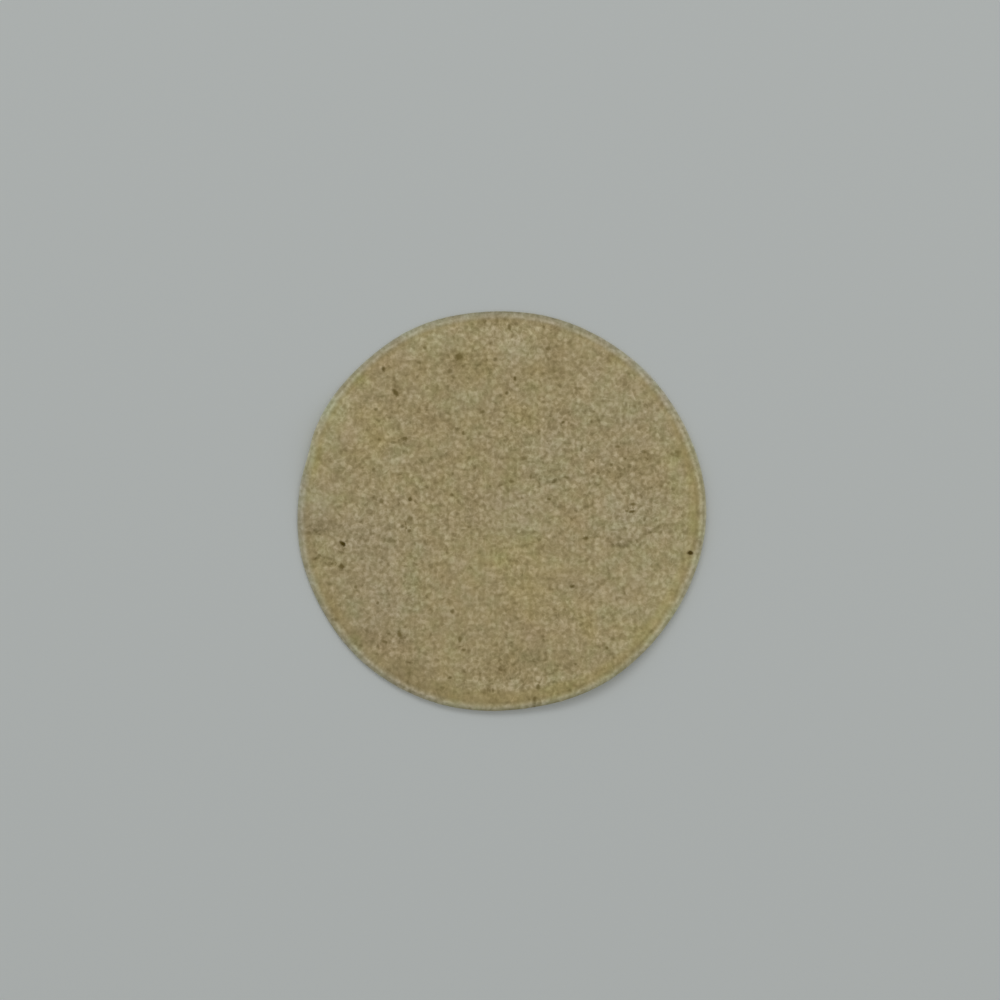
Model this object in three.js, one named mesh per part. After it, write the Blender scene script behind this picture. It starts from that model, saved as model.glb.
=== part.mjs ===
// A corn tortilla: one thin, nearly round sheet of baked maize dough, lying as it came off the griddle.
// Millimetres, +Z up. The underside rests on z = 0, and the origin is under the middle of the sheet.
// Seen from above, +X is to the right and +Y is up.
import * as THREE from "three";
import { ImprovedNoise } from "three/addons/math/ImprovedNoise.js";

const { clamp, degToRad, euclideanModulo, smoothstep } = THREE.MathUtils;

// Driving dimensions: the mean width across the cut edge, and the thickness in the middle.
const DIAMETER = 151.4;
const THICKNESS = 1.8;
const COLOUR = 0xcfba8c;
const ROUGHNESS = 0.85;

// The edge isn't a true circle: how many waves run round it, their height, and the direction of a crest
// in degrees anticlockwise from +X.
const OUTLINE_WAVES = [
  { count: 2, height: 0.6, crest: 9 },
  { count: 3, height: 0.46, crest: -7 },
  { count: 5, height: 0.08, crest: 0 },
  { count: 6, height: 0.15, crest: 6 },
  { count: 7, height: 0.11, crest: -4 },
  { count: 9, height: 0.09, crest: -11 },
  { count: 10, height: 0.1, crest: 7 },
];

// The rim, from the groove behind its lip out to the blunt cut edge and round to the foot of the underside:
// how far each line lies in from the cut edge, and how high it is.
const RIM_LINES = [
  { inset: 3.2, height: 0.95 },
  { inset: 1.9, height: 1.2 },
  { inset: 0.9, height: 1.0 },
  { inset: 0.2, height: 0.7 },
  { inset: 0.0, height: 0.35 },
  { inset: 0.5, height: 0.0 },
];

// A smooth band runs inside the groove, pressed thinner than the middle, and is wider towards some sides.
const BAND_HEIGHT = 1.3;
const BAND_LEAST_WIDTH = 1.2;
const BAND_WIDENINGS = [
  { crest: -15, spread: 38, amount: 2.4 },
  { crest: -80, spread: 30, amount: 2.2 },
  { crest: -122, spread: 26, amount: 4.0 },
];
const BAND_SLOPE_WIDTH = 6;

// Stretches of the edge that curl up off the table, starting at this share of the radius.
const CURL_START = 0.62;
const CURLS = [
  { crest: 159, spread: 14, amount: 3.2 },
  { crest: 185, spread: 18, amount: 0.3 },
  { crest: -100, spread: 42, amount: 0.85 },
  { crest: -54, spread: 27, amount: 2.5 },
  { crest: -2, spread: 27, amount: 1.65 },
];

// Pale blisters, where steam lifted the skin: centre, width along X, depth along Y, and rise.
const BLISTERS = [
  { x: 48, y: -2, wide: 34, deep: 22, rise: 0.7 },
  { x: 8, y: 0, wide: 30, deep: 20, rise: 0.55 },
  { x: 42, y: 40, wide: 36, deep: 24, rise: 0.5 },
  { x: 5, y: 61, wide: 15, deep: 11, rise: 0.5 },
  { x: -12, y: 42, wide: 22, deep: 15, rise: 0.4 },
  { x: -50, y: -14, wide: 32, deep: 26, rise: 0.45 },
  { x: -45, y: -37, wide: 26, deep: 22, rise: 0.4 },
  { x: -66, y: 5, wide: 13, deep: 14, rise: 0.3 },
];

// The crease along the foot of the largest blister: a stretch of an arc.
const CREASE = { x: 46, y: 14, radius: 27, from: -124, to: -45, halfWidth: 2.4, depth: 0.4 };

// The dough's uneven crags: width of a crag and its rise, from the coarse ones to the fine ones.
const CRAGS = [
  { width: 9, rise: 0.3 },
  { width: 4.6, rise: 0.32 },
];

// Fineness: rings of points on each face, and how many more points each ring has than the one inside it.
const TOP_RINGS = 28;
const UNDERSIDE_RINGS = 12;
const POINTS_MORE = 6;

const TURN = 2 * Math.PI;
const noise = new ImprovedNoise();

// From 1 in the direction of a crest down to 0 well away from it.
function towards(angle, { crest, spread }) {
  const turned = euclideanModulo(angle - degToRad(crest) + Math.PI, TURN) - Math.PI;
  return Math.exp(-((turned / degToRad(spread)) ** 2));
}

function sumTowards(angle, features) {
  return features.reduce((sum, feature) => sum + feature.amount * towards(angle, feature), 0);
}

// The distance from the middle to the cut edge.
function edgeRadius(angle) {
  const wave = ({ count, height, crest }) => height * Math.cos(count * (angle - degToRad(crest)));
  return OUTLINE_WAVES.reduce((radius, each) => radius + wave(each), DIAMETER / 2);
}

// How far the sheet is off the table.
function curl(angle, radius) {
  const share = radius / edgeRadius(angle);
  return sumTowards(angle, CURLS) * smoothstep(share, CURL_START, 1);
}

function blisterRise(x, y) {
  const rises = BLISTERS.map((blister) => {
    const away = Math.hypot((x - blister.x) / (blister.wide / 2), (y - blister.y) / (blister.deep / 2));
    return blister.rise * (1 - clamp(away, 0, 1) ** 2) ** 2;
  });
  return Math.max(...rises);
}

function creaseDepth(x, y) {
  const fromCentre = Math.hypot(x - CREASE.x, y - CREASE.y);
  const direction = Math.atan2(y - CREASE.y, x - CREASE.x);
  if (direction < degToRad(CREASE.from) || direction > degToRad(CREASE.to)) {
    return 0;
  }
  const away = Math.abs(fromCentre - CREASE.radius) / CREASE.halfWidth;
  return CREASE.depth * (1 - smoothstep(away, 0, 1));
}

function cragRise(x, y) {
  return CRAGS.reduce((sum, { width, rise }) => sum + rise * noise.noise(x / width, y / width, width), 0);
}

// Height of the top face inside the smooth band, at a distance in from the band's inner line.
function topHeight(angle, radius, fromBand) {
  const x = radius * Math.cos(angle);
  const y = radius * Math.sin(angle);
  const field = smoothstep(fromBand, 0, BAND_SLOPE_WIDTH);
  const relief = blisterRise(x, y) - creaseDepth(x, y) + cragRise(x, y);
  return curl(angle, radius) + BAND_HEIGHT + field * (THICKNESS - BAND_HEIGHT + relief);
}

const points = [];
const triangles = [];

// Adds a ring of points, anticlockwise from +X, at the radius and height that place gives for each angle.
function addRing(count, place) {
  return Array.from({ length: count }, (_, index) => {
    const angle = (index / count) * TURN;
    const { radius, height } = place(angle);
    points.push(radius * Math.cos(angle), radius * Math.sin(angle), height);
    return points.length / 3 - 1;
  });
}

// Fills the strip between two neighbouring rings with triangles. A ring of one point is a tip.
function stitch(first, second) {
  let a = first.length > 1 ? 0 : 1;
  let b = second.length > 1 ? 0 : 1;
  while (a < first.length || b < second.length) {
    const here = [first[a % first.length], second[b % second.length]];
    if (a === first.length || (b < second.length && (b + 1) / second.length <= (a + 1) / first.length)) {
      b += 1;
      triangles.push(...here, second[b % second.length]);
    } else {
      a += 1;
      triangles.push(...here, first[a % first.length]);
    }
  }
}

// The top face, from its middle point out to the inner line of the smooth band.
function topRings() {
  return Array.from({ length: TOP_RINGS + 1 }, (_, step) =>
    addRing(Math.max(1, step * POINTS_MORE), (angle) => {
      const bandWidth = BAND_LEAST_WIDTH + sumTowards(angle, BAND_WIDENINGS);
      const bandRadius = edgeRadius(angle) - RIM_LINES[0].inset - bandWidth;
      const radius = (bandRadius * step) / TOP_RINGS;
      return { radius, height: topHeight(angle, radius, bandRadius - radius) };
    }),
  );
}

function rimRings() {
  return RIM_LINES.map(({ inset, height }) =>
    addRing(TOP_RINGS * POINTS_MORE, (angle) => {
      const radius = edgeRadius(angle) - inset;
      return { radius, height: curl(angle, radius) + height };
    }),
  );
}

// The underside, from inside the foot in to a flat middle that the sheet rests on.
function undersideRings() {
  return Array.from({ length: UNDERSIDE_RINGS + 1 }, (_, step) => {
    const left = UNDERSIDE_RINGS - step;
    return addRing(Math.max(1, left * POINTS_MORE), (angle) => {
      const radius = (edgeRadius(angle) * left) / (UNDERSIDE_RINGS + 1);
      return { radius, height: curl(angle, radius) };
    });
  });
}

function tortillaGeometry() {
  const rings = [...topRings(), ...rimRings(), ...undersideRings()];
  rings.slice(1).forEach((ring, index) => stitch(rings[index], ring));
  const geometry = new THREE.BufferGeometry();
  geometry.setAttribute("position", new THREE.Float32BufferAttribute(points, 3));
  geometry.setIndex(triangles);
  geometry.computeBoundingBox();
  const middle = geometry.boundingBox.getCenter(new THREE.Vector3());
  geometry.translate(-middle.x, -middle.y, -geometry.boundingBox.min.z);
  geometry.computeVertexNormals();
  return geometry;
}

const tortilla = new THREE.Mesh(
  tortillaGeometry(),
  new THREE.MeshStandardMaterial({ color: COLOUR, roughness: ROUGHNESS, metalness: 0 }),
);
tortilla.name = "tortilla";

const part = new THREE.Group();
part.add(tortilla);

export default part;
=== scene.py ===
# %% [markdown]
# # A corn tortilla
# A corn tortilla is one thin sheet of baked maize dough. This lesson loads its plain solid, refines a copy
# of it, presses the dough's grain into that copy with Geometry Nodes, and paints it as the griddle left it.
# Lengths in the lists below are in millimetres, because that is how a sheet of dough is measured; Blender
# itself works in metres.

# %% Load the solid
import math

import bpy
import numpy as np
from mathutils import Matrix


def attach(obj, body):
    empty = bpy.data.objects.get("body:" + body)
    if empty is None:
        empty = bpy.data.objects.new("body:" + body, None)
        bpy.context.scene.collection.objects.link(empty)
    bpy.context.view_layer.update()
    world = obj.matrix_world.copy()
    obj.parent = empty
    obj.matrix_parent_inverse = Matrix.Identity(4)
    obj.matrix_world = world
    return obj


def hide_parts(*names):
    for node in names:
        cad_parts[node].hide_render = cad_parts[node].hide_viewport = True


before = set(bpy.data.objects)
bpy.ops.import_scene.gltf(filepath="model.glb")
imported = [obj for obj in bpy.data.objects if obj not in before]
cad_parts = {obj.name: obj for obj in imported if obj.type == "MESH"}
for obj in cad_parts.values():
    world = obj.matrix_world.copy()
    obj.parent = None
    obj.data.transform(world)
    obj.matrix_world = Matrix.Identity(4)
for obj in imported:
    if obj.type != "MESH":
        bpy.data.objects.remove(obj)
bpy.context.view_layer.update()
MM = 0.001
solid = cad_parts["tortilla"]

# %% [markdown]
# ## The sheet
# The solid already has the outline, the rim, the curled edges and the blisters, in flat triangles about 2.4
# mm wide. The grain of maize dough is finer than that. A new sheet could be drawn from scratch, but
# refining a copy of the solid keeps every form where it is. A Subdivision Surface splits each triangle
# twice and rounds it off.

# %% Refine a copy of the solid
SPLITS = 2
WELD_DECIMALS = 6
SMOOTHING_PASSES = 2


def plain_mesh(piece):
    """The piece's mesh with its modifiers worked in, as a new plain mesh."""
    evaluated = piece.evaluated_get(bpy.context.evaluated_depsgraph_get())
    return bpy.data.meshes.new_from_object(evaluated)


def settle(piece):
    """Swaps the piece's mesh for its finished shape and takes the modifiers off."""
    finished = plain_mesh(piece)
    piece.modifiers.clear()
    piece.data = finished


def point_values(mesh, field):
    """Three numbers for each point of a mesh: its place (co) or its normal."""
    values = np.empty(len(mesh.vertices) * 3)
    mesh.vertices.foreach_get(field, values)
    return values.reshape(-1, 3)


def welded_copy(mesh, name):
    """A new mesh of the same triangles, with the corners that share a place joined."""
    corners = point_values(mesh, "co").round(WELD_DECIMALS)
    places, joined = np.unique(corners, axis=0, return_inverse=True)
    order = np.empty(len(mesh.loops), int)
    mesh.loops.foreach_get("vertex_index", order)
    copy = bpy.data.meshes.new(name)
    copy.from_pydata(places, [], joined.ravel()[order].reshape(-1, 3))
    return copy


def refined_copy(source, name):
    """A new piece with the same shape as the source, split finer and rounded off."""
    piece = bpy.data.objects.new(name, welded_copy(source.data, name))
    bpy.context.scene.collection.objects.link(piece)
    splitter = piece.modifiers.new("Split", "SUBSURF")
    splitter.levels = SPLITS
    splitter.render_levels = SPLITS
    smoother = piece.modifiers.new("Round off", "SMOOTH")
    smoother.iterations = SMOOTHING_PASSES
    settle(piece)
    return piece


tortilla = refined_copy(solid, "tortilla_sheet")
print("sheet:", len(tortilla.data.vertices), "points")

# %% [markdown]
# ### The cut edge
# The solid's edge is a smooth wave round a circle. The real edge has a shallow dent at the left, it is a
# little fuller at the upper right, and a little shorter along the bottom. Only the outer part of the sheet
# moves, in or out along its radius. How far is a least amount plus soft swellings, each with its direction
# in degrees anticlockwise from +X, its spread and its size. The same way of describing a ring comes back
# for everything else that runs along the rim.

# %% Trim the edge
BOTTOM_TRIM = [(-95, 16, -0.42), (-52, 24, -0.42)]
EDGE_TRIM = {
    "least": 0.0,
    "swellings": [(40, 30, 0.35), (118, 12, 0.2), (157, 10, -0.2), (164, 5, -0.7), *BOTTOM_TRIM],
}
TRIM_REACH = 12.0


def smooth_step(value, low, high):
    """0 up to low and 1 from high on, with a smooth rise between."""
    share = np.clip((value - low) / (high - low), 0, 1)
    return share * share * (3 - 2 * share)


def around(amounts, angle):
    """How much of something there is in each direction: a least amount plus soft swellings."""
    result = np.full(len(angle), amounts["least"])
    for crest, spread, amount in amounts["swellings"]:
        turned = (angle - crest + 180) % 360 - 180
        result += amount * np.exp(-((turned / spread) ** 2))
    return result


def trim_edge(mesh):
    """Moves the outer points in or out, and gives how far each one went, in millimetres."""
    places = point_values(mesh, "co")
    radius = np.hypot(places[:, 0], places[:, 1])
    outward = places[:, :2] / np.maximum(radius, MM)[:, None]
    near_edge = smooth_step(radius, radius.max() - TRIM_REACH * MM, radius.max())
    trim = around(EDGE_TRIM, np.degrees(np.arctan2(places[:, 1], places[:, 0]))) * MM
    places[:, :2] += outward * (trim * near_edge)[:, None]
    mesh.vertices.foreach_set("co", places.ravel())
    mesh.update()
    return trim * near_edge / MM


trimmed = trim_edge(tortilla.data)
print("edge moved by %.2f to %.2f mm" % (trimmed.min(), trimmed.max()))

# %% [markdown]
# ## Where things lie
# The marks on a tortilla belong to places: a fleck of hull here, a pale blister there, a smooth band along
# the edge. Each kind of mark becomes a mask, one number for every point of the sheet, stored on the mesh as
# an attribute. Relief and colour read the same masks later, so a crease has painted shade exactly where it
# is deep.
# The masks could also be painted with a brush, but numbers can be read and corrected.

# %% Measure each point's place
UPPER_FACING = -0.2  # the cut edge leans outwards a little, and still counts as the upper side

x, y = point_values(tortilla.data, "co")[:, :2].T / MM
angle = np.degrees(np.arctan2(y, x))
facing_up = point_values(tortilla.data, "normal")[:, 2]
upper = facing_up > UPPER_FACING


def rim_line():
    """The cut edge's radius by angle, read off the outermost points of the refined sheet."""
    radius = np.hypot(x, y)
    bins = np.round(angle).astype(int) % 360
    return np.array([radius[bins == each].max() for each in range(360)])


def store(name, values):
    """Keeps one number, or a row of three, for each point of the sheet under a name."""
    values = np.asarray(values, np.float32)
    kind, field = ("FLOAT", "value") if values.ndim == 1 else ("FLOAT_VECTOR", "vector")
    attribute = tortilla.data.attributes.new(name, kind, "POINT")
    attribute.data.foreach_set(field, values.ravel())


edge_radius = np.interp(angle, np.arange(360), rim_line(), period=360)
inset = edge_radius - np.hypot(x, y)
print("edge radius: %.1f to %.1f mm" % (edge_radius.min(), edge_radius.max()))

# %% [markdown]
# ### The rim
# Pressing squeezes the dough thinner along the edge. The rounded nose of the edge is painted: darker, as
# shade, at the top and bottom, and lighter, as light, elsewhere. Behind it runs a narrow pale lip, pale
# dough with a painted highlight, then a groove painted dark as shade, and then a smoother, yellowish band,
# wide at the right and along the bottom and almost missing at the top. How much each of them shows changes
# from one direction to another.
# Nose, lip and groove are about as narrow as the distance between two points, so only these amounts, the
# lip's place and the inset from the edge are stored. They change slowly, and the node trees draw the narrow
# lines from them. Where the edge was trimmed along the bottom, the lip lies nearer to it by as much. The
# upper side of the rim has dried out most, so how dry it is gets a mask as well.

# %% Paint the rim
BAND_WIDTH = {"least": 3.0, "swellings": [(-15, 38, 2.4), (-80, 30, 2.2), (-122, 26, 4.0)]}
BAND_FADE = 2.5
BAND_YELLOW = {"least": 0.2, "swellings": [(-50, 62, 0.6), (8, 18, 0.3), (152, 18, 0.4)]}
NOSE_WIDTH = 1.0
# Painted light and shade on the nose: darker at the top and bottom edges, lighter elsewhere.
NOSE_PAINTED_LIGHT_SHADE = {
    "least": -0.1,
    "swellings": [(92, 35, 0.27), (-95, 45, 0.27), (5, 20, -0.1), (168, 10, -0.12), (-115, 22, -0.1)],
}
LIP_INSET = {"least": 1.85, "swellings": [(70, 60, 0.32), *BOTTOM_TRIM]}
LIP_HALF_WIDTH = 1.0
# How much the lip shows: paler dough, and partly a painted highlight where the edge catches light.
PALE_LIP_AND_HIGHLIGHT = {
    "least": 0.95,
    "swellings": [
        (0, 16, 0.6),
        (60, 45, 0.15),
        (92, 12, -0.35),
        (133, 15, 0.3),
        (166, 8, -0.2),
        (-160, 25, -0.25),
        (-120, 14, 0.55),
        (-95, 14, -0.3),
        (-60, 40, -0.3),
    ],
}
GROOVE_BEHIND_LIP = 1.6
GROOVE_HALF_WIDTH = 1.0
# Painted shade in the groove behind the lip, darkest at the lower right.
GROOVE_PAINTED_SHADE = {"least": 0.45, "swellings": [(-40, 70, 0.5)]}
DRY_WIDTH = {"least": 3.8, "swellings": [(80, 60, -0.5), (-75, 35, -0.4)]}
DRY_FACING = 0.6

band_width = around(BAND_WIDTH, angle)
band = 1 - smooth_step(inset, band_width, band_width + BAND_FADE)
store("top", upper)
store("inset", inset)
store("band", band)
store("dry", np.clip(1 - inset / around(DRY_WIDTH, angle), 0, 1) * smooth_step(facing_up, 0, DRY_FACING))
store("nose_painted_light_shade", around(NOSE_PAINTED_LIGHT_SHADE, angle))
store("lip_inset", around(LIP_INSET, angle))
store("pale_lip_and_highlight", around(PALE_LIP_AND_HIGHLIGHT, angle))
store("groove_painted_shade", around(GROOVE_PAINTED_SHADE, angle))
print("band: %.0f%% of the points" % (100 * np.mean(band > 0.5)))

# %% [markdown]
# ### Patches
# The griddle leaves soft patches. Blisters dry out pale and greyish, thin places stay yellow, and the parts
# that touched longest turn brown. A patch is an ellipse that fades outwards, with a change of tone (light
# or dark), of hue (positive is greyer and bluer, negative yellower) and of warmth (positive is redder,
# negative greener). Noise could scatter such patches, but written down they lie where the griddle left
# them.

# %% Paint the patches
PATCHES = [
    # x, y, width, depth, tone, hue, warmth
    (4, 61, 15, 13, 0.16, 0.5, -0.3),
    (6, 3, 28, 11, 0.04, 0.7, -0.1),
    (8, -6, 22, 8, 0.12, 0.3, -0.5),
    (18, 22, 26, 20, 0.01, 0.65, -0.3),
    (49, -1, 30, 22, 0.05, 0.8, -0.1),
    (47, 38, 30, 34, 0.06, 0.5, -0.3),
    (33, 38, 14, 10, 0.01, 0.2, -0.4),
    (-15, 41, 18, 10, 0.01, 0.3, -0.5),
    (-50, -9, 34, 22, 0.0, 1.0, 0.1),
    (-46, -34, 26, 24, 0.0, 1.0, 0.2),
    (-69, 5, 12, 11, 0.1, 0.9, -0.7),
    (-63, 34, 10, 22, 0.11, 0.2, -1.0),
    (-26, 66, 32, 10, 0.08, 0.3, -0.7),
    (50, -30, 36, 28, 0.08, 0.2, -0.4),
    (0, -17, 20, 12, 0.0, -0.7, -0.4),
    (11, -30, 18, 26, 0.02, -0.6, 0.3),
    (8, -37, 12, 7, -0.08, 0.0, 0.0),
    (-48, 28, 10, 14, 0.0, -0.8, 0.0),
    (9, 35, 12, 8, -0.01, -0.7, 0.0),
    (13, 41, 10, 10, 0.06, 0.0, 0.0),
    (33, -42, 6, 12, 0.0, -0.9, 0.0),
    (53, -46, 9, 8, -0.02, -0.9, -0.3),
    (63.5, 15, 8, 22, 0.11, -0.3, -0.6),
    (62, -35, 14, 16, 0.06, -0.5, -0.1),
    (-15, 57, 7, 7, -0.12, -0.3, 0.0),
    (-9, 54, 16, 9, -0.09, -0.4, 0.2),
    (-40, 44, 8, 9, -0.1, 0.0, 0.2),
    (-36, 27, 8, 7, -0.1, 0.0, 0.2),
    (20, 56, 14, 12, -0.09, 0.0, 0.3),
    (23, 36, 8, 8, -0.12, 0.0, 0.4),
    (41, 24, 20, 14, -0.05, 0.2, 0.4),
    (50, 16, 22, 10, -0.1, 0.0, 0.4),
    (59.5, 8.5, 10, 7, -0.14, -0.2, 0.2),
    (53.5, 3, 6, 5, 0.14, 0.0, -0.4),
    (-10, 4, 14, 8, -0.1, 0.0, 0.3),
    (-11, -4, 16, 6, -0.08, 0.0, 0.0),
    (-27, 34, 10, 8, -0.1, -0.1, 0.8),
    (10, -55, 24, 10, -0.18, 0.1, -0.2),
    (-1, -58, 9, 7, -0.15, -0.2, 0.4),
    (12, -45, 20, 9, 0.02, 0.2, 0.6),
    (-43, -50, 18, 10, -0.08, 0.5, 0.8),
    (-55, -50, 8, 10, -0.16, -0.1, -0.8),
    (-36, -61, 14, 13, -0.2, 0.5, 0.3),
    (-24, -66, 16, 8, -0.14, 0.0, 0.1),
    (0, -69, 36, 7, -0.09, -0.3, 0.3),
    (-68, -6, 14, 5, -0.16, 0.4, 0.0),
    (66, 21, 6, 6, -0.1, -0.3, -0.4),
    (24, -66, 9, 7, -0.12, -0.6, -0.9),
    (20.5, 68.5, 9, 4, -0.12, 0.2, 0.3),
    (-68, -25, 6, 14, 0.0, -0.2, -0.5),
    (-63, -36, 8, 12, -0.05, -0.6, 0.3),
    (-53, 49, 6, 5, -0.04, -0.6, -0.5),
    (-53, 35, 4, 4, 0.0, -0.6, 0.0),
    (41.5, 57, 5, 4, -0.12, -0.6, -0.3),
    (22.3, -24, 3, 1.5, 0.25, 0.2, 0.0),
    (0, -65, 20, 2.5, 0.12, 0.2, 0.0),
    (14, -63, 5, 2.5, 0.12, 0.2, 0.0),
    (22, -62, 8, 4, 0.2, 0.2, -0.5),
    (-56, 29, 5, 8, 0.04, 0.2, 0.8),
    (-42, 56, 12, 7, -0.04, 0.0, 0.9),
    (29, -3, 10, 8, -0.02, -0.3, 0.6),
    (-25, -23, 12, 9, -0.02, -0.1, 0.5),
    (-33, -28, 10, 22, 0.0, 0.1, -0.8),
    (-38, 19, 11, 12, 0.1, 0.2, -0.4),
    (18, 11, 20, 7, -0.02, 0.1, -0.7),
    (72, -4, 6, 16, 0.0, -0.3, -0.8),
    (-70, 18, 6, 8, 0.0, -0.2, -0.8),
    (-57, -35, 7, 8, -0.04, 0.1, -0.9),
    (-67, -14, 7, 5, 0.0, -0.4, -0.2),
    (-70, -3, 8, 10, -0.08, 0.8, 0.0),
    (49, -29, 14, 8, -0.05, 0.1, 0.6),
    (64, -10, 12, 12, 0.1, 0.0, -0.4),
    (39, -5, 9, 8, 0.1, 0.2, -0.6),
    (-1, 71, 16, 5, -0.13, 0.0, 0.0),
    (12, 70, 9, 5, -0.06, 0.5, 0.0),
    (13, -20, 12, 8, 0.07, 0.0, 0.0),
    (-15, -18, 22, 8, 0.08, 0.0, 0.0),
    (32, 11, 10, 6, 0.15, 0.0, 0.0),
    (32, -31, 14, 10, 0.06, 0.0, 0.6),
    (50, -16, 22, 8, 0.0, 0.0, -0.4),
    (60, -27, 10, 8, 0.0, 0.0, -0.5),
    (45, -49, 12, 13, 0.0, 0.0, -0.35),
    (51, 37, 9, 7, -0.1, 0.0, 0.0),
    (-7, 64, 8, 6, -0.07, 0.0, 0.0),
    (-13, -65, 10, 6, 0.0, 0.0, -0.4),
    (-35, -43, 10, 6, -0.06, 0.0, 0.0),
    (-55, 39, 8, 8, 0.07, 0.0, 0.0),
    (-4, 29, 10, 8, -0.07, 0.0, 0.0),
    (-22, 19, 16, 9, -0.07, 0.0, 0.0),
    (-40, 3, 12, 10, 0.07, 0.0, 0.0),
    (-16, -38, 12, 8, 0.07, 0.0, 0.0),
    (-1, -44, 12, 8, -0.06, 0.0, 0.0),
    (-70, 20, 6, 14, 0.12, -0.8, -0.2),
    (-69, 32, 4, 14, 0.0, -0.7, 0.8),
    (-72.5, 22, 4, 12, 0.0, -0.5, 0.5),
    (70, 14, 4, 14, -0.01, -0.5, -0.3),
]


def soft_ellipse(centre_x, centre_y, width, depth):
    """1 in the middle of an ellipse, fading to nothing well outside it."""
    away = np.hypot((x - centre_x) / (width / 2), (y - centre_y) / (depth / 2))
    return np.exp(-(away**2))


tone = np.zeros(len(x))
hue = -band * around(BAND_YELLOW, angle)
warm = np.zeros(len(x))
for patch_x, patch_y, width, depth, patch_tone, patch_hue, patch_warm in PATCHES:
    strength = soft_ellipse(patch_x, patch_y, width, depth)
    tone += patch_tone * strength
    hue += patch_hue * strength
    warm += patch_warm * strength
store("tone", tone)
store("hue", np.clip(hue, -1, 1))
store("warm", np.clip(warm, -1, 1))
print("patches: %d, tone %.2f to %.2f" % (len(PATCHES), tone.min(), tone.max()))

# %% [markdown]
# ### Lively and flat places
# Where the sheet lay close on the griddle its skin is flatter, and beside the blisters it is livelier.
# These places change the strength of the grain, in the relief and in the colour alike.

# %% Paint the strength of the grain
LIVELY = [
    # x, y, width, depth, change of strength
    (12, -28, 60, 44, -0.18),
    (4, -21, 14, 14, 0.2),
    (-20, -32, 16, 34, -0.14),
    (0, 2, 14, 14, -0.12),
    (48, 0, 14, 16, 0.3),
    (56, -10, 26, 10, 0.15),
    (22, 12, 28, 14, 0.2),
    (20, 36, 24, 18, 0.12),
    (-36, 2, 34, 30, 0.14),
    (-60, 27, 18, 12, -0.22),
    (-65, 3, 14, 14, -0.35),
    (-6, 45, 12, 10, -0.14),
    (-44, -52, 16, 10, 0.15),
    (7, 28, 14, 12, 0.35),
    (21, -39, 18, 14, 0.32),
    (-11, 0, 10, 10, 0.3),
    (6, 68, 40, 9, 0.28),
    (-6, -19, 12, 10, -0.35),
    (-10, -33, 10, 8, -0.2),
    (-20, -50, 18, 14, -0.22),
    (-53, -38, 20, 12, -0.22),
    (-61, -27, 14, 14, -0.22),
    (-36, 50, 26, 14, -0.22),
    (13, 53, 10, 8, -0.25),
    (66, 16, 10, 13, -0.3),
    (49, -26, 20, 12, -0.24),
    (57, -40, 14, 12, -0.2),
    (8, -64, 34, 7, 0.3),
    (-34, -60.5, 20, 10, -0.25),
    (-16, -71, 24, 5, -0.25),
    (72, -1, 3.5, 24, -0.3),
    (64, -13, 10, 8, -0.25),
    (29, 61, 12, 8, -0.3),
    (-22, 61, 14, 8, -0.2),
    (-4, 48, 10, 8, -0.15),
    (1, 18, 10, 8, -0.25),
    (37, 26, 14, 10, 0.15),
    (-33, 33, 14, 10, 0.22),
    (-67, 17, 8, 8, -0.25),
    (-34, -26, 8, 12, 0.3),
    (2, -21, 8, 8, 0.3),
    (17, -52, 10, 8, -0.25),
]

lively = np.ones(len(x))
for patch_x, patch_y, width, depth, change in LIVELY:
    lively += change * soft_ellipse(patch_x, patch_y, width, depth)
store("lively", lively)
print("strength of the grain: %.2f to %.2f" % (lively.min(), lively.max()))

# %% [markdown]
# ### Flecks
# Dark specks of hull and char lie in the dough, many of them no wider than the distance between two points.
# So each point keeps where it lies as seen from the nearest fleck: forward, sideways and how far away, each
# counted in that fleck's half widths. The first two change evenly between points, and the material can draw
# the fleck's outline from them and roughen it.

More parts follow.
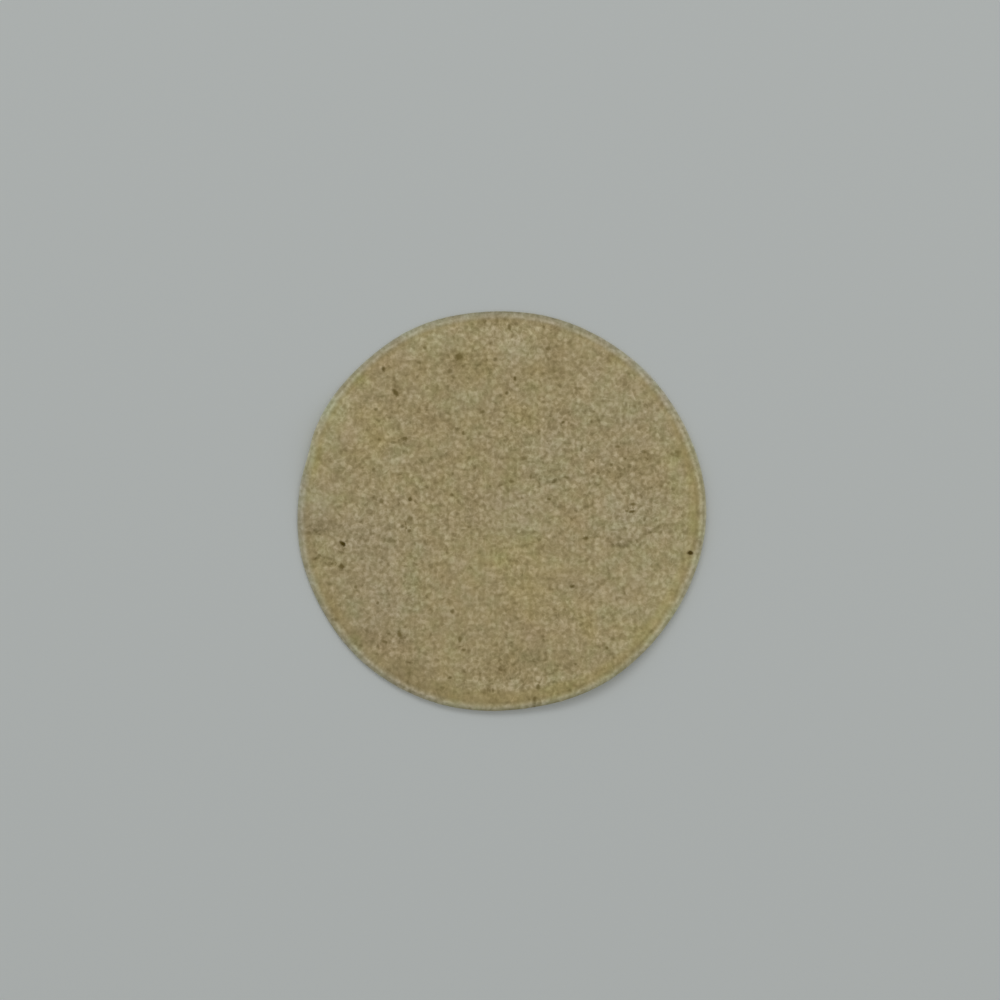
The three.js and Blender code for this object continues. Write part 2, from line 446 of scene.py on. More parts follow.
# %% Paint the flecks
FLECKS = [
    # x, y, half width along the fleck, half width across it, direction in degrees, darkness
    (-59.0, -12.2, 0.8, 0.7, -40, 0.92),
    (70.4, -15.4, 1.0, 0.75, -10, 0.91),
    (-59.8, -11.6, 0.75, 0.6, -40, 0.75),
    (-34.2, 4.6, 0.75, 0.85, 0, 0.66),
    (-59.6, -20.6, 1.1, 1.2, 0, 0.66),
    (-39.6, 44.4, 1.6, 0.8, -55, 0.66),
    (-44.1, 53.2, 0.7, 1.0, 0, 0.67),
    (26.4, -28.0, 0.9, 0.7, 0, 0.66),
    (48.6, -0.1, 1.2, 0.5, 10, 0.66),
    (5.0, 49.7, 0.5, 0.8, 0, 0.63),
    (2.0, 44.2, 0.6, 0.7, 0, 0.62),
    (-36.1, 27.2, 1.0, 0.8, 0, 0.62),
    (23.0, 33.4, 0.7, 0.5, 20, 0.6),
    (-38.0, -46.0, 1.7, 0.75, -65, 0.58),
    (-34.5, -7.1, 0.65, 0.6, 0, 0.57),
    (-18.4, -37.2, 0.75, 0.75, 0, 0.57),
    (-37.0, -5.5, 0.7, 0.7, 0, 0.57),
    (-19.2, -62.0, 0.7, 0.5, 0, 0.55),
    (-15.8, 57.8, 1.7, 1.2, 20, 0.55),
    (17.7, 4.7, 0.7, 0.5, 0, 0.55),
    (39.2, -50.7, 0.6, 0.6, 0, 0.55),
    (48.9, 2.8, 1.2, 0.5, 5, 0.55),
    (-14.2, -51.7, 0.95, 0.5, 10, 0.55),
    (13.7, -65.4, 0.75, 1.05, 0, 0.55),
    (27.5, -56.8, 0.6, 0.5, 0, 0.55),
    (-46.2, -34.2, 0.6, 0.6, 0, 0.54),
    (41.0, 17.4, 0.6, 0.7, 0, 0.54),
    (-7.2, 37.2, 0.9, 0.65, 20, 0.54),
    (-2.4, 56.8, 0.8, 0.7, 30, 0.54),
    (-15.5, -47.8, 0.8, 1.1, 0, 0.53),
    (31.3, -10.0, 1.15, 0.55, 5, 0.52),
    (2.9, 69.0, 0.65, 1.1, 0, 0.52),
    (17.4, 60.9, 1.0, 0.75, 10, 0.51),
    (-14.3, 29.2, 0.5, 0.7, 0, 0.5),
    (-18.5, 6.2, 0.75, 0.65, 0, 0.5),
    (53.0, 22.3, 1.1, 0.55, -10, 0.5),
    (-40.5, 25.8, 1.0, 0.6, 0, 0.5),
    (-19.2, 52.5, 1.1, 0.9, 0, 0.5),
    (3.6, 11.2, 0.85, 0.55, 0, 0.5),
    (-34.2, -2.7, 1.0, 0.9, 0, 0.49),
    (8.2, 19.9, 1.0, 0.75, 0, 0.48),
    (-54.5, -28.2, 0.55, 0.6, 0, 0.47),
    (46.6, 0.2, 0.6, 0.45, 0, 0.47),
    (-45.0, 4.0, 0.9, 0.8, 0, 0.46),
    (-30.8, 55.7, 0.85, 0.6, 0, 0.46),
    (43.5, 24.3, 0.7, 0.55, 0, 0.46),
    (-46.9, 38.2, 0.7, 0.6, 0, 0.45),
    (-44.0, -48.5, 1.2, 0.6, -20, 0.45),
    (-28.6, 61.0, 0.8, 0.6, -20, 0.45),
    (-47.7, 15.5, 0.7, 1.0, 0, 0.44),
    (-45.6, 26.9, 0.6, 0.65, 0, 0.4),
    (-63.2, -19.5, 0.6, 0.5, 0, 0.4),
    (-62.3, -40.4, 1.2, 0.7, 0, 0.4),
    (-31.5, 50.4, 0.5, 0.7, 0, 0.4),
    (-4.3, 9.4, 0.5, 0.5, 0, 0.4),
    (-3.2, -66.7, 0.35, 0.9, 0, 0.4),
    (11.0, 13.1, 0.4, 0.9, 0, 0.4),
    (33.5, 33.7, 0.5, 0.6, 0, 0.4),
    (46.4, 40.0, 0.5, 1.0, 0, 0.4),
    (65.3, 21.5, 1.6, 1.2, 40, 0.4),
    (24.2, 12.7, 0.9, 0.5, -10, 0.39),
    (28.5, 46.0, 1.6, 0.5, -10, 0.35),
    (26.0, 32.4, 0.4, 0.6, 0, 0.33),
    (36.4, 33.8, 0.4, 0.7, 0, 0.33),
    (-0.5, 9.7, 0.8, 0.4, 20, 0.31),
    (49.6, 39.0, 0.7, 0.7, 0, 0.31),
    (10.3, -70.1, 0.5, 0.4, 0, 0.3),
    (-59.0, -14.0, 0.4, 0.6, 0, 0.33),
    (-5.2, -66.5, 0.35, 0.8, 0, 0.25),
]
NO_FLECK_NEAR = 10.0

fleck_place = np.full((len(x), 3), NO_FLECK_NEAR)
fleck_dark = np.zeros(len(x))
for fleck_x, fleck_y, along, across, direction, dark in FLECKS:
    turn = math.radians(direction)
    forward = ((x - fleck_x) * math.cos(turn) + (y - fleck_y) * math.sin(turn)) / along
    sideways = ((y - fleck_y) * math.cos(turn) - (x - fleck_x) * math.sin(turn)) / across
    away = np.hypot(forward, sideways)
    nearest = (away < fleck_place[:, 2]) & upper
    fleck_place[nearest] = np.stack([forward, sideways, away], axis=1)[nearest]
    fleck_dark[nearest] = dark
store("fleck_place", fleck_place)
store("fleck_dark", fleck_dark)
print("flecks:", len(FLECKS))

# %% [markdown]
# ### Creases
# Where the skin buckled, short creases run beside the blisters and in from the rim. Each is a stroke
# between two points that bows sideways by a given amount. A crease could be an edge cut into the mesh, but
# a soft mask is enough for lines as fine as these.

# %% Paint the creases
CREASE_HALF_WIDTH = 0.6
CREASES = [
    # from x, from y, to x, to y, bow, strength
    (40.2, -11.3, 48.0, -12.4, -1.3, 0.75),
    (45.5, -13.0, 61.2, -3.6, -0.7, 0.65),
    (59.0, -5.6, 66.5, -5.0, 0.2, 0.5),
    (55.0, -20.0, 66.0, -17.5, -0.6, 0.5),
    (34.5, -29.3, 39.5, -25.5, 0.2, 0.8),
    (37.5, -27.5, 43.0, -24.5, 0.2, 0.5),
    (30.0, -10.4, 36.5, -9.5, 0.2, 0.9),
    (31.0, -6.8, 36.0, -7.2, 0.2, 0.5),
    (34.0, -34.5, 38.0, -34.8, 0.2, 0.4),
    (32.6, -36.0, 34.0, -45.4, -0.2, 0.6),
    (40.2, -36.5, 43.6, -45.9, 0.1, 0.6),
    (54.3, 23.5, 54.6, 18.5, 0.1, 0.8),
    (46.5, 0.2, 56.5, 4.2, 0.6, 0.3),
    (31.0, 11.3, 37.5, 10.4, -0.6, 0.5),
    (-1.0, 9.7, 4.5, 11.3, 0.2, 0.5),
    (13.0, 11.3, 16.5, 11.8, 0.2, 0.5),
    (19.0, 10.5, 22.0, 12.0, 0.1, 0.5),
    (23.5, 13.0, 26.5, 11.5, 0.1, 0.5),
    (12.0, -7.5, 14.5, -9.0, 0.1, 0.5),
    (13.5, -10.5, 15.5, -12.0, 0.1, 0.5),
    (4.8, 62.6, 6.5, 62.0, 0.1, 0.4),
    (-72.0, -8.2, -66.0, -7.0, 0.3, 0.7),
    (-71.0, -18.0, -64.0, -17.5, 0.4, 0.8),
    (-67.0, -30.7, -56.0, -31.0, 0.3, 0.4),
    (-34.6, -59.5, -35.1, -64.8, 0.2, 0.7),
    (12.3, -73.8, 12.6, -69.0, 0.2, 1.0),
]
STROKE_STEP = 0.4
STROKE_FADE = 0.25
STROKE_END = 0.3

crease = np.zeros(len(x))
for x0, y0, x1, y1, bow, strength in CREASES:
    length = math.hypot(x1 - x0, y1 - y0)
    for share in np.linspace(0, 1, round(length / STROKE_STEP)):
        off_line = 4 * bow * share * (1 - share)
        step_x = x0 + (x1 - x0) * share - (y1 - y0) / length * off_line
        step_y = y0 + (y1 - y0) * share + (x1 - x0) / length * off_line
        away = np.hypot(x - step_x, y - step_y) / CREASE_HALF_WIDTH
        fade = STROKE_END + (1 - STROKE_END) * smooth_step(min(share, 1 - share), 0, STROKE_FADE)
        crease = np.maximum(crease, strength * fade * np.exp(-(away**2)))
store("crease", np.where(upper, crease, 0))
print("creases:", len(CREASES))

# %% [markdown]
# ## Wiring nodes from a script
# Relief and colour are both worked out by node trees. A tree can be wired by hand in Blender's editor.
# Built by a script it can be read and made again, and these helpers keep each step of arithmetic on one
# line. They work in geometry trees and in shader trees alike, because both kinds share their Math and
# texture nodes.

# %% Helpers for building node trees
NOISE_MIDDLE = 0.5


def add_node(tree, kind, inputs=None, **settings):
    """Adds a node with its settings and inputs. An input is a value, or the output that feeds it."""
    node = tree.nodes.new(kind)
    for name, value in settings.items():
        setattr(node, name, value)
    for name, value in (inputs or {}).items():
        if isinstance(value, bpy.types.NodeSocket):
            tree.links.new(value, node.inputs[name])
        else:
            node.inputs[name].default_value = value
    return node


def calculate(tree, operation, *values):
    """One step of arithmetic, as the output of a Math node."""
    return add_node(tree, "ShaderNodeMath", dict(enumerate(values)), operation=operation).outputs[0]


def product(tree, first, *others):
    """Two or more values multiplied."""
    for other in others:
        first = calculate(tree, "MULTIPLY", first, other)
    return first


def total(tree, first, *others):
    """Two or more values added."""
    for other in others:
        first = calculate(tree, "ADD", first, other)
    return first


def ramp(tree, value, low, high, to_low=0.0, to_high=1.0):
    """A smooth step from to_low at low to to_high at high."""
    inputs = {"Value": value, "From Min": low, "From Max": high, "To Min": to_low, "To Max": to_high}
    return add_node(tree, "ShaderNodeMapRange", inputs, interpolation_type="SMOOTHSTEP").outputs["Result"]


def ridge(tree, value, crest, half_width):
    """1 where the value is at the crest, falling to 0 a half width away."""
    away = calculate(tree, "ABSOLUTE", calculate(tree, "SUBTRACT", value, crest))
    return ramp(tree, away, 0.0, half_width, 1.0, 0.0)


def noise_at(tree, place, width, detail=2.0, roughness=0.5):
    """A noise texture with soft spots about as wide as the given width."""
    inputs = {"Vector": place, "Scale": 1 / width, "Detail": detail, "Roughness": roughness}
    return add_node(tree, "ShaderNodeTexNoise", inputs, noise_dimensions="2D")


def centred_noise(tree, place, width, detail=2.0, roughness=0.5):
    """Noise around 0."""
    noise = noise_at(tree, place, width, detail, roughness).outputs[0]
    return calculate(tree, "SUBTRACT", noise, NOISE_MIDDLE)


def cloud(tree, place, look):
    """Soft noise around 0, with the width and strength of its look."""
    return product(tree, centred_noise(tree, place, look["width"]), look["strength"])


def mask(tree, name):
    """A stored mask, read by the node that this kind of tree has for it."""
    if tree.bl_idname == "ShaderNodeTree":
        return add_node(tree, "ShaderNodeAttribute", attribute_name=name).outputs["Fac"]
    node = add_node(tree, "GeometryNodeInputNamedAttribute", {"Name": name}, data_type="FLOAT")
    return node.outputs["Attribute"]


# %% [markdown]
# ## The grain
# Maize dough is ground, not milled fine, so its skin is a field of soft pebbles about two millimetres wide,
# with pits here and there, thin curling ridges and finer crumbs. It could be sculpted, or taken from an
# image. Here a Voronoi texture gives pebbles and pits, and noise gives ridges and crumbs: nothing repeats,
# and the pattern is sharp at any size.

# %% Helpers for pebbles and pits
CELL_TOP = 0.1
CELL_GAP = 0.75
WARP_WIDTH = 4.0 * MM
WARP_REACH = 1.0 * MM


def cells_at(tree, place, width):
    """Rounded cells: 1 on top of each and 0 in the gaps, with a number of its own for each cell."""
    inputs = {"Vector": place, "Scale": 1 / width, "Randomness": 1.0}
    cells = add_node(tree, "ShaderNodeTexVoronoi", inputs, voronoi_dimensions="2D", feature="F1")
    own = add_node(tree, "ShaderNodeSeparateXYZ", {"Vector": cells.outputs["Color"]})
    return ramp(tree, cells.outputs["Distance"], CELL_TOP, CELL_GAP, 1.0, 0.0), own.outputs[0]


def warped_place(tree, place):
    """Places pushed sideways by a slow swirl, so that the pebbles aren't all of one roundness."""
    swirl = noise_at(tree, place, WARP_WIDTH).outputs["Color"]
    centred = add_node(tree, "ShaderNodeVectorMath", {0: swirl, 1: (NOISE_MIDDLE,) * 3}, operation="SUBTRACT")
    inputs = {0: centred.outputs[0], "Scale": 2 * WARP_REACH}
    push = add_node(tree, "ShaderNodeVectorMath", inputs, operation="SCALE")
    return add_node(tree, "ShaderNodeVectorMath", {0: place, 1: push.outputs[0]}, operation="ADD").outputs[0]


# %% [markdown]
# ### One grain for relief and colour
# Each part of the grain raises or lowers the skin, and makes it paler or darker. The paleness is partly the
# dough's own and partly painted shade: darker in the pits and gaps, paler on the raised pebbles. Both are
# weighted sums of the same parts, counted from their means so that the sheet as a whole gets neither thicker
# nor paler. One function builds the pattern for a geometry tree and for a shader tree, so relief and colour
# agree.

# %% Build the grain pattern for both kinds of tree
PEBBLE_WIDTH = 2.25 * MM
PEBBLE_LEAST = 0.2
PIT_WIDTH = 2.0 * MM
PIT_FROM = 0.6
RIDGE_WIDTH = 3.0 * MM
RIDGE_SHARPNESS = 0.07
CRUMB_WIDTH = 1.45 * MM
BEAD_WIDTH = 2.4 * MM
BEAD_NOISE = (0.3, 0.7)
BEAD_LEAST = 0.3
GRAIN_HEIGHTS = {"pebble": 1.0, "pit": -0.6, "ridge": 0.3, "crumb": 0.9}
# Partly the dough's own tone, partly painted shade: dark pits and gaps, pale raised pebbles.
GRAIN_PALENESS_AND_SHADE = {"pebble": 0.33, "pit": -0.23, "ridge": 0.14, "crumb": 0.54}
GRAIN_MEANS = {"pebble": 0.25, "pit": 0.08, "ridge": 0.2, "crumb": 0.0}


def weighted(tree, parts, weights, means):
    """The sum of the parts, each counted from its mean and times its weight."""
    shares = [
        calculate(tree, "MULTIPLY_ADD", part, weights[name], -weights[name] * means[name])
        for name, part in parts.items()
    ]
    return total(tree, *shares)


def grain_group(tree_type):
    """A node group that turns a place on the sheet into the grain's height, its tone with painted shade, and
    beads.
    """
    group = bpy.data.node_groups.new("Dough grain", tree_type)
    group.interface.new_socket("Place", in_out="INPUT", socket_type="NodeSocketVector")
    place = group.nodes.new("NodeGroupInput").outputs["Place"]
    warped = warped_place(group, place)
    pebble, size = cells_at(group, warped, PEBBLE_WIDTH)
    pit, depth = cells_at(group, warped, PIT_WIDTH)
    from_crest = calculate(group, "ABSOLUTE", centred_noise(group, place, RIDGE_WIDTH, 1.0))
    pebble_size = calculate(group, "MULTIPLY_ADD", size, 1 - PEBBLE_LEAST, PEBBLE_LEAST)
    parts = {
        "pebble": product(group, pebble, pebble_size),
        "pit": product(group, pit, ramp(group, depth, PIT_FROM, 1.0)),
        "ridge": ramp(group, from_crest, 0.0, RIDGE_SHARPNESS, 1.0, 0.0),
        "crumb": centred_noise(group, place, CRUMB_WIDTH, 1.0),
    }
    bead = noise_at(group, place, BEAD_WIDTH).outputs[0]
    outputs = {
        "Height": weighted(group, parts, GRAIN_HEIGHTS, GRAIN_MEANS),
        "Paleness and shade": weighted(group, parts, GRAIN_PALENESS_AND_SHADE, GRAIN_MEANS),
        "Bead": ramp(group, bead, *BEAD_NOISE, BEAD_LEAST, 1.0),
    }
    for name in outputs:
        group.interface.new_socket(name, in_out="OUTPUT", socket_type="NodeSocketFloat")
    end = group.nodes.new("NodeGroupOutput")
    for name, value in outputs.items():
        group.links.new(value, end.inputs[name])
    return group


def grain_at(tree, place):
    """The grain's height, tone with painted shade, and beads at a place."""
    kind = "ShaderNodeGroup" if tree.bl_idname == "ShaderNodeTree" else "GeometryNodeGroup"
    return add_node(tree, kind, {"Place": place}, node_tree=grain_groups[tree.bl_idname]).outputs


grain_groups = {kind: grain_group(kind) for kind in ("GeometryNodeTree", "ShaderNodeTree")}
for kind, group in grain_groups.items():
    print("grain for a %s: %d nodes" % (kind, len(group.nodes)))

# %% [markdown]
# ### Grain and rim together
# The smooth band along the edge has less grain, and lively places have more. The lip is a narrow ridge at
# its own inset. Both trees need these two, so they are written once.

# %% Helpers for the band and the lip
def grain_strength(tree, in_band):
    """How strong the grain is, when the band has only this share of it."""
    less = calculate(tree, "SUBTRACT", in_band, 1.0)
    return product(tree, mask(tree, "lively"), calculate(tree, "MULTIPLY_ADD", mask(tree, "band"), less, 1.0))


def behind_lip(tree):
    """How far in from the lip's crest a point lies, in millimetres."""
    return calculate(tree, "SUBTRACT", mask(tree, "inset"), mask(tree, "lip_inset"))


def lip_ridge(tree):
    """1 along the lip's crest, falling to 0 on both sides."""
    return ridge(tree, behind_lip(tree), 0.0, LIP_HALF_WIDTH)


# %% [markdown]
# ## The dough's tone
# Seen close, the colour of the dough runs on one scale, from dark tan pits to pale, dry pebbles. It could
# be mixed from many colours, but one number is easier to add up. So the material first makes a single tone
# from the grain, a soft mottling and the painted masks. That tone holds painted shade too, in the pits, the
# groove and the creases, painted light and shade on the nose, and a painted highlight on the lip.

# %% Add up the tone
GRAIN_IN_BAND = 0.7
NOSE_START = 0.2
# Paler dough along the lip together with a painted highlight.
LIP_HIGHLIGHT_TONE = 0.3
# Painted shade in the groove.
GROOVE_SHADE_TONE = -0.14
# Painted shade in the creases.
CREASE_SHADE_TONE = -0.4
MOTTLE = {"width": 5.5 * MM, "strength": 0.33}
CLOUDS = {"width": 13 * MM, "strength": 0.1}
MIDDLE_TONE = 0.5


def rim_tone(tree, bead):
    """What the nose's painted light and shade, the pale beaded lip with its painted highlight and the
    groove's painted shade add to the tone.
    """
    nose = ramp(tree, mask(tree, "inset"), NOSE_START, NOSE_WIDTH, -1.0, 0.0)
    groove = ridge(tree, behind_lip(tree), GROOVE_BEHIND_LIP, GROOVE_HALF_WIDTH)
    return total(
        tree,
        product(tree, nose, mask(tree, "nose_painted_light_shade")),
        product(tree, lip_ridge(tree), mask(tree, "pale_lip_and_highlight"), bead, LIP_HIGHLIGHT_TONE),
        product(tree, groove, mask(tree, "groove_painted_shade"), GROOVE_SHADE_TONE),
    )


def dough_tone(tree, place):
    """How pale the dough looks at a place, own tone and painted shade together, from 0 in the darkest pits to
    1 on the palest pebbles.
    """
    grain = grain_at(tree, place)
    return total(
        tree,
        mask(tree, "tone"),
        product(tree, grain["Paleness and shade"], grain_strength(tree, GRAIN_IN_BAND)),
        rim_tone(tree, grain["Bead"]),
        product(tree, mask(tree, "crease"), CREASE_SHADE_TONE),
        cloud(tree, place, MOTTLE),
        cloud(tree, place, CLOUDS),
        MIDDLE_TONE,
    )


dough = bpy.data.materials.new("baked_maize_dough")
dough.use_nodes = True
dough_tree = dough.node_tree
dough_place = dough_tree.nodes.new("ShaderNodeTexCoord").outputs["Object"]
tone_here = dough_tone(dough_tree, dough_place)
print("tone:", len(dough_tree.nodes), "nodes")

# %% [markdown]
# ## Mixing colours
# On real dough one colour shades into the next. A mix, a tint and a scale of colours are enough for that. A
# tint could be mixed in like paint, but here it multiplies the colour, as a thin glaze does, so that light
# and dark keep their distance.

# %% Helpers for mixing colours
def mix_colours(tree, share, first, second, blend="MIX"):
    """A mix of two colours. Each is a colour, or the output that feeds it."""
    node = add_node(tree, "ShaderNodeMix", data_type="RGBA", blend_type=blend, clamp_factor=True)
    tree.links.new(share, node.inputs["Factor"])
    for name, value in (("A_Color", first), ("B_Color", second)):
        socket = next(each for each in node.inputs if each.identifier == name)
        if isinstance(value, tuple):
            socket.default_value = (*value, 1.0)
        else:
            tree.links.new(value, socket)
    return next(each for each in node.outputs if each.identifier == "Result_Color")


def tinted(tree, colour, amount, positive, negative):
    """The colour times one tint where the amount is positive and another where it is negative."""
    colour = mix_colours(tree, amount, colour, positive, "MULTIPLY")
    return mix_colours(tree, calculate(tree, "MULTIPLY", amount, -1.0), colour, negative, "MULTIPLY")


def colour_scale(tree, tone, stops):
    """Looks a tone up on a scale of colours."""
    node = add_node(tree, "ShaderNodeValToRGB", {"Fac": tone})
    node.color_ramp.elements.remove(node.color_ramp.elements[1])
    for index, (position, colour) in enumerate(stops):
        element = node.color_ramp.elements.new(position) if index else node.color_ramp.elements[0]
        element.position = position
        element.color = (*colour, 1.0)
    return node.outputs["Color"]


# %% [markdown]
# ## The dough's colour
# The tone is looked up on a scale of three colours. The hue and warmth masks then tint the result a little,
# with soft clouds of their own, and towards the edge it dries out to a greyer tint. The clouds are wider
# than the grain: that keeps the grain clear and stops the sheet from looking dyed in one colour.

# %% Work out the colour of the bare dough
DOUGH_SCALE = [
    # tone, colour
    (0.0, (0.292, 0.224, 0.088)),
    (0.5, (0.582, 0.471, 0.242)),
    (1.0, (0.908, 0.767, 0.47)),
]
GREYER = (0.979, 1.0, 1.108)
YELLOWER = (1.0, 1.0, 0.855)
REDDER = (1.022, 0.982, 0.99)
GREENER = (0.948, 1.04, 0.978)
DRIER = (0.86, 1.0, 1.36)
HUE_CLOUDS = {"width": 8 * MM, "strength": 1.4}
WARM_CLOUDS = {"width": 7 * MM, "strength": 2.0}


def dough_colour(tree, place, tone_value):
    """The colour of the dough without its flecks."""
    colour = colour_scale(tree, tone_value, DOUGH_SCALE)
    greyness = total(tree, mask(tree, "hue"), cloud(tree, place, HUE_CLOUDS))
    colour = tinted(tree, colour, greyness, GREYER, YELLOWER)
    warmth = total(tree, mask(tree, "warm"), cloud(tree, place, WARM_CLOUDS))
    colour = tinted(tree, colour, warmth, REDDER, GREENER)
    return mix_colours(tree, mask(tree, "dry"), colour, DRIER, "MULTIPLY")


bare_colour = dough_colour(dough_tree, dough_place, tone_here)
print("bare dough:", len(dough_tree.nodes), "nodes")

# %% [markdown]
# ### Flecks on the dough
# Faint flecks are brown hull, and the darkest are charred. The stored place draws each one as an oval, and
# fine noise makes its outline ragged. Midway between two flecks the blended place can look like a fleck
# where there is none; the stored distance rules that out.

# %% Lay the flecks over the dough
HULL_COLOUR = (0.222, 0.165, 0.043)
CHAR_COLOUR = (0.091, 0.06, 0.003)
CHARRED_FROM = 0.5
FLECK_CORE = 0.4
FLECK_EDGE = 1.6
FLECK_STRENGTH = 1.35
FLECK_SLACK = 1.5
FLECK_RAGGED = {"width": 0.9 * MM, "strength": 0.8}


def away_from_fleck(tree):
    """How far the nearest fleck is, in its half widths."""
    place = add_node(tree, "ShaderNodeAttribute", attribute_name="fleck_place").outputs["Vector"]
    forward, sideways, stored = add_node(tree, "ShaderNodeSeparateXYZ", {"Vector": place}).outputs
    squares = total(tree, product(tree, forward, forward), product(tree, sideways, sideways))
    least = calculate(tree, "SUBTRACT", stored, FLECK_SLACK)
    return calculate(tree, "MAXIMUM", calculate(tree, "SQRT", squares), least)


def with_flecks(tree, place, colour):
    """The colour with the flecks laid over it."""
    away = total(tree, away_from_fleck(tree), cloud(tree, place, FLECK_RAGGED))
    fleck = ramp(tree, away, FLECK_CORE, FLECK_EDGE, 1.0, 0.0)
    darkness = mask(tree, "fleck_dark")
    fleck_colour = mix_colours(tree, ramp(tree, darkness, CHARRED_FROM, 1.0), HULL_COLOUR, CHAR_COLOUR)
    return mix_colours(tree, product(tree, fleck, darkness, FLECK_STRENGTH), colour, fleck_colour)


flecked_colour = with_flecks(dough_tree, dough_place, bare_colour)
print("flecked dough:", len(dough_tree.nodes), "nodes")

# %% [markdown]
# ### The finished dough
# Baked dough is matt and hardly shines. The smooth band is a little less rough than the rest. What is finer
# than the mesh, the last fraction of a millimetre, is a slight bump: as relief it would need far more
# points.

# %% Finish the dough material
ROUGHNESS = 0.85
ROUGHNESS_LESS_IN_BAND = 0.15
SHINE = 0.2
FINE_BUMP = {"width": 0.45 * MM, "depth": 0.015 * MM, "detail": 3.0, "roughness": 0.6}


def finish_dough(tree, place, colour):
    """Feeds the colour, the roughness and the fine bump to the material's shader."""
    shader = tree.nodes["Principled BSDF"]
    tree.links.new(colour, shader.inputs["Base Color"])
    roughness = calculate(tree, "MULTIPLY_ADD", mask(tree, "band"), -ROUGHNESS_LESS_IN_BAND, ROUGHNESS)
    tree.links.new(roughness, shader.inputs["Roughness"])
    noise = noise_at(tree, place, FINE_BUMP["width"], FINE_BUMP["detail"], FINE_BUMP["roughness"])
    bump = add_node(tree, "ShaderNodeBump", {"Height": noise.outputs[0], "Distance": FINE_BUMP["depth"]})
    tree.links.new(bump.outputs["Normal"], shader.inputs["Normal"])
    shader.inputs["Specular IOR Level"].default_value = SHINE


finish_dough(dough_tree, dough_place, flecked_colour)
print("dough material:", len(dough_tree.nodes), "nodes")

# %% [markdown]
# ## Pressing the grain in
# On the real sheet the grain is relief, and it shows at a low angle. A bump in the material would only
# shade it, so the relief tree moves each point of the mesh along its normal, by sizes that are inputs of
# the tree. The grain fades in the smooth band at the rim. The underside lies on the floor, so its grain is
# only pressed inwards and the rest stays where the solid is.

# %% Build the relief tree and settle it into the mesh
RELIEF_SIZES = {
    "Grain rise": 0.16 * MM,
    "Bead rise": 0.12 * MM,
    "Crease depth": 0.3 * MM,
    "Grain in the band": 0.6,
}


def relief_tree(material):
    """A geometry tree that presses grain, beads and creases into the sheet and gives it its material."""
    tree = bpy.data.node_groups.new("Dough relief", "GeometryNodeTree")
    tree.interface.new_socket("Geometry", in_out="INPUT", socket_type="NodeSocketGeometry")
    tree.interface.new_socket("Geometry", in_out="OUTPUT", socket_type="NodeSocketGeometry")
    for name in RELIEF_SIZES:
        tree.interface.new_socket(name, in_out="INPUT", socket_type="NodeSocketFloat")
    sheet = tree.nodes.new("NodeGroupInput").outputs
    grain = grain_at(tree, tree.nodes.new("GeometryNodeInputPosition").outputs[0])
    strength = grain_strength(tree, sheet["Grain in the band"])
    grains = product(tree, grain["Height"], sheet["Grain rise"], strength)
    beads = product(tree, lip_ridge(tree), mask(tree, "pale_lip_and_highlight"), grain["Bead"], sheet["Bead rise"])
    dents = product(tree, mask(tree, "crease"), sheet["Crease depth"])
    top_rise = calculate(tree, "SUBTRACT", total(tree, grains, beads), dents)
    under_rise = calculate(tree, "MINIMUM", grains, 0.0)
    on_top = mask(tree, "top")
    underneath = calculate(tree, "SUBTRACT", 1.0, on_top)
    rise = total(tree, product(tree, top_rise, on_top), product(tree, under_rise, underneath))
    normal = tree.nodes.new("GeometryNodeInputNormal").outputs[0]
    offset = add_node(tree, "ShaderNodeVectorMath", {0: normal, "Scale": rise}, operation="SCALE").outputs[0]
    raised = add_node(tree, "GeometryNodeSetPosition", {"Geometry": sheet["Geometry"], "Offset": offset})
    smooth = add_node(tree, "GeometryNodeSetShadeSmooth", {"Geometry": raised.outputs[0]})
    real = add_node(tree, "GeometryNodeRealizeInstances", {"Geometry": smooth.outputs[0]})
    coated = add_node(tree, "GeometryNodeSetMaterial", {"Geometry": real.outputs[0], "Material": material})
    tree.links.new(coated.outputs[0], tree.nodes.new("NodeGroupOutput").inputs["Geometry"])
    return tree


press = tortilla.modifiers.new("Dough relief", "NODES")
press.node_group = relief_tree(dough)
for socket in press.node_group.interface.items_tree:
    if socket.name in RELIEF_SIZES:
        press[socket.identifier] = RELIEF_SIZES[socket.name]
settle(tortilla)
print("pressed sheet:", len(tortilla.data.polygons), "faces")

# %% [markdown]
# ## A flat map of the sheet
# When the material is baked into an image, the sheet needs a flat map. Blender could unwrap it by itself,
# but a tortilla is flat already: the top is one disc and the underside another. The top shows most, so its
# disc is the larger one.

# %% Lay out the flat map
TOP_DISC = {"middle": (0.405, 0.595), "radius": 0.39}
UNDER_DISC = {"middle": (0.83, 0.17), "radius": 0.16}


def flat_map(mesh):
    """Lays each face out on the disc of its side. The underside is mirrored, as it is seen from below."""
    corners = np.empty(len(mesh.loops), int)
    mesh.loops.foreach_get("vertex_index", corners)
    places = point_values(mesh, "co")[corners, :2]
    facing = np.empty(len(mesh.polygons) * 3)
    mesh.polygons.foreach_get("normal", facing)
    sides = np.empty(len(mesh.polygons), int)
    mesh.polygons.foreach_get("loop_total", sides)
    on_top = np.repeat(facing.reshape(-1, 3)[:, 2] > 0, sides)[:, None]
    reach = np.abs(places).max()
    top = np.array(TOP_DISC["middle"]) + places / reach * TOP_DISC["radius"]
    under = np.array(UNDER_DISC["middle"]) + places / reach * UNDER_DISC["radius"] * (-1, 1)
    layer = mesh.uv_layers.new(name="OFBake")
    layer.uv.foreach_set("vector", np.where(on_top, top, under).astype(np.float32).ravel())


flat_map(tortilla.data)
print("flat map:", len(tortilla.data.loops), "corners")

# %% [markdown]
# ## Handing the sheet over
# The finished sheet belongs to the part's only body, stands in for the plain solid and has its one
# material.

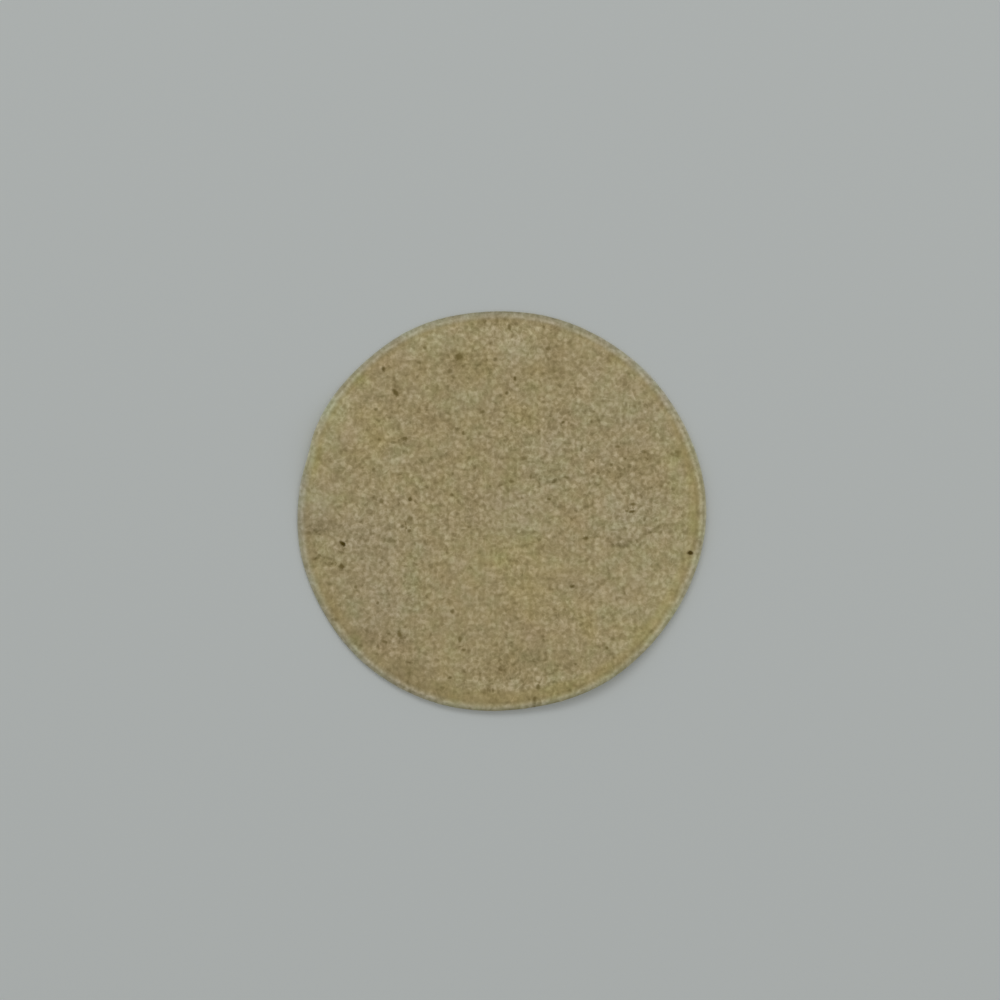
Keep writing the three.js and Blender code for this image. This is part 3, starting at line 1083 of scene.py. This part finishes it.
# %% Tie the sheet to the part
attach(tortilla, "root")
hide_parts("tortilla")
print("tied", tortilla.name, "to the body root")

# %% [markdown]
# ## The floor
# A plain, pale, matt floor catches the soft shadow. One large face is enough. It lies a hair below the
# sheet, so that the two don't share a plane.

# %% Lay the floor
FLOOR_SIZE = 6.0
FLOOR_DROP = 0.05 * MM
FLOOR_COLOUR = (0.812, 0.856, 0.84)
FLOOR_ROUGHNESS = 0.9
FLOOR_SHINE = 0.2


def pale_floor():
    """One flat face with a matt material."""
    half = FLOOR_SIZE / 2
    mesh = bpy.data.meshes.new("floor")
    corners = [(-half, -half), (half, -half), (half, half), (-half, half)]
    mesh.from_pydata([(*corner, -FLOOR_DROP) for corner in corners], [], [(0, 1, 2, 3)])
    floor = bpy.data.objects.new("floor", mesh)
    bpy.context.scene.collection.objects.link(floor)
    material = bpy.data.materials.new("pale_paper")
    material.use_nodes = True
    shader = material.node_tree.nodes["Principled BSDF"]
    shader.inputs["Base Color"].default_value = (*FLOOR_COLOUR, 1.0)
    shader.inputs["Roughness"].default_value = FLOOR_ROUGHNESS
    shader.inputs["Specular IOR Level"].default_value = FLOOR_SHINE
    mesh.materials.append(material)
    return floor


pale_floor()
print("floor: %.0f m wide" % FLOOR_SIZE)

# %% [markdown]
# ## The light
# Most of the light is soft and comes from all sides: a lit background gives that without any lamps. A wide
# lamp on the far side adds the rest, so the near edge has a soft shadow, widest where the edge curls up.

# %% Light the sheet
SKY_COLOUR = (1, 1, 1)
SKY_STRENGTH = 0.375
LAMP_DISTANCE = 3.0
LAMP_BEARING = 85
LAMP_ELEVATION = 40
LAMP_WIDTH = 3.2
LAMP_HEIGHT = 1.0
LAMP_POWER = 18.5


def wide_lamp():
    """A lamp that looks at the middle of the sheet from its bearing and elevation, in degrees."""
    lamp = bpy.data.lights.new("softbox", "AREA")
    lamp.shape = "RECTANGLE"
    lamp.size = LAMP_WIDTH
    lamp.size_y = LAMP_HEIGHT
    lamp.energy = LAMP_POWER
    holder = bpy.data.objects.new("softbox", lamp)
    bearing = math.radians(LAMP_BEARING)
    elevation = math.radians(LAMP_ELEVATION)
    level = LAMP_DISTANCE * math.cos(elevation)
    holder.location = (
        level * math.cos(bearing),
        level * math.sin(bearing),
        LAMP_DISTANCE * math.sin(elevation),
    )
    holder.rotation_euler = (math.pi / 2 - elevation, 0, bearing + math.pi / 2)
    bpy.context.scene.collection.objects.link(holder)


def soft_sky():
    """An even light from all sides."""
    sky = bpy.data.worlds.new("sky")
    sky.use_nodes = True
    background = sky.node_tree.nodes["Background"]
    background.inputs["Color"].default_value = (*SKY_COLOUR, 1)
    background.inputs["Strength"].default_value = SKY_STRENGTH
    bpy.context.scene.world = sky


wide_lamp()
soft_sky()
print("lamp: %.1f W, %.1f m away" % (LAMP_POWER, LAMP_DISTANCE))

# %% [markdown]
# ## The camera
# The camera looks straight down. Its height follows from the lens and the width of the view at the level of
# the sheet. The Standard view transform leaves the colours as they are mixed above.

# %% Look straight down
LENS = 50
SENSOR = 36
VIEW_WIDTH = 374 * MM
VIEW_MIDDLE = (-0.57 * MM, 4.29 * MM)
VIEW_LEVEL = 1.2 * MM


def overhead_camera():
    """A camera over the middle of the view. It looks down as long as it isn't turned."""
    camera = bpy.data.cameras.new("camera")
    camera.lens = LENS
    camera.sensor_width = SENSOR
    holder = bpy.data.objects.new("camera", camera)
    holder.location = (*VIEW_MIDDLE, VIEW_LEVEL + VIEW_WIDTH * LENS / SENSOR)
    bpy.context.scene.collection.objects.link(holder)
    bpy.context.scene.camera = holder


overhead_camera()
bpy.context.scene.view_settings.view_transform = "Standard"
print("camera height: %.3f m" % bpy.context.scene.camera.location.z)
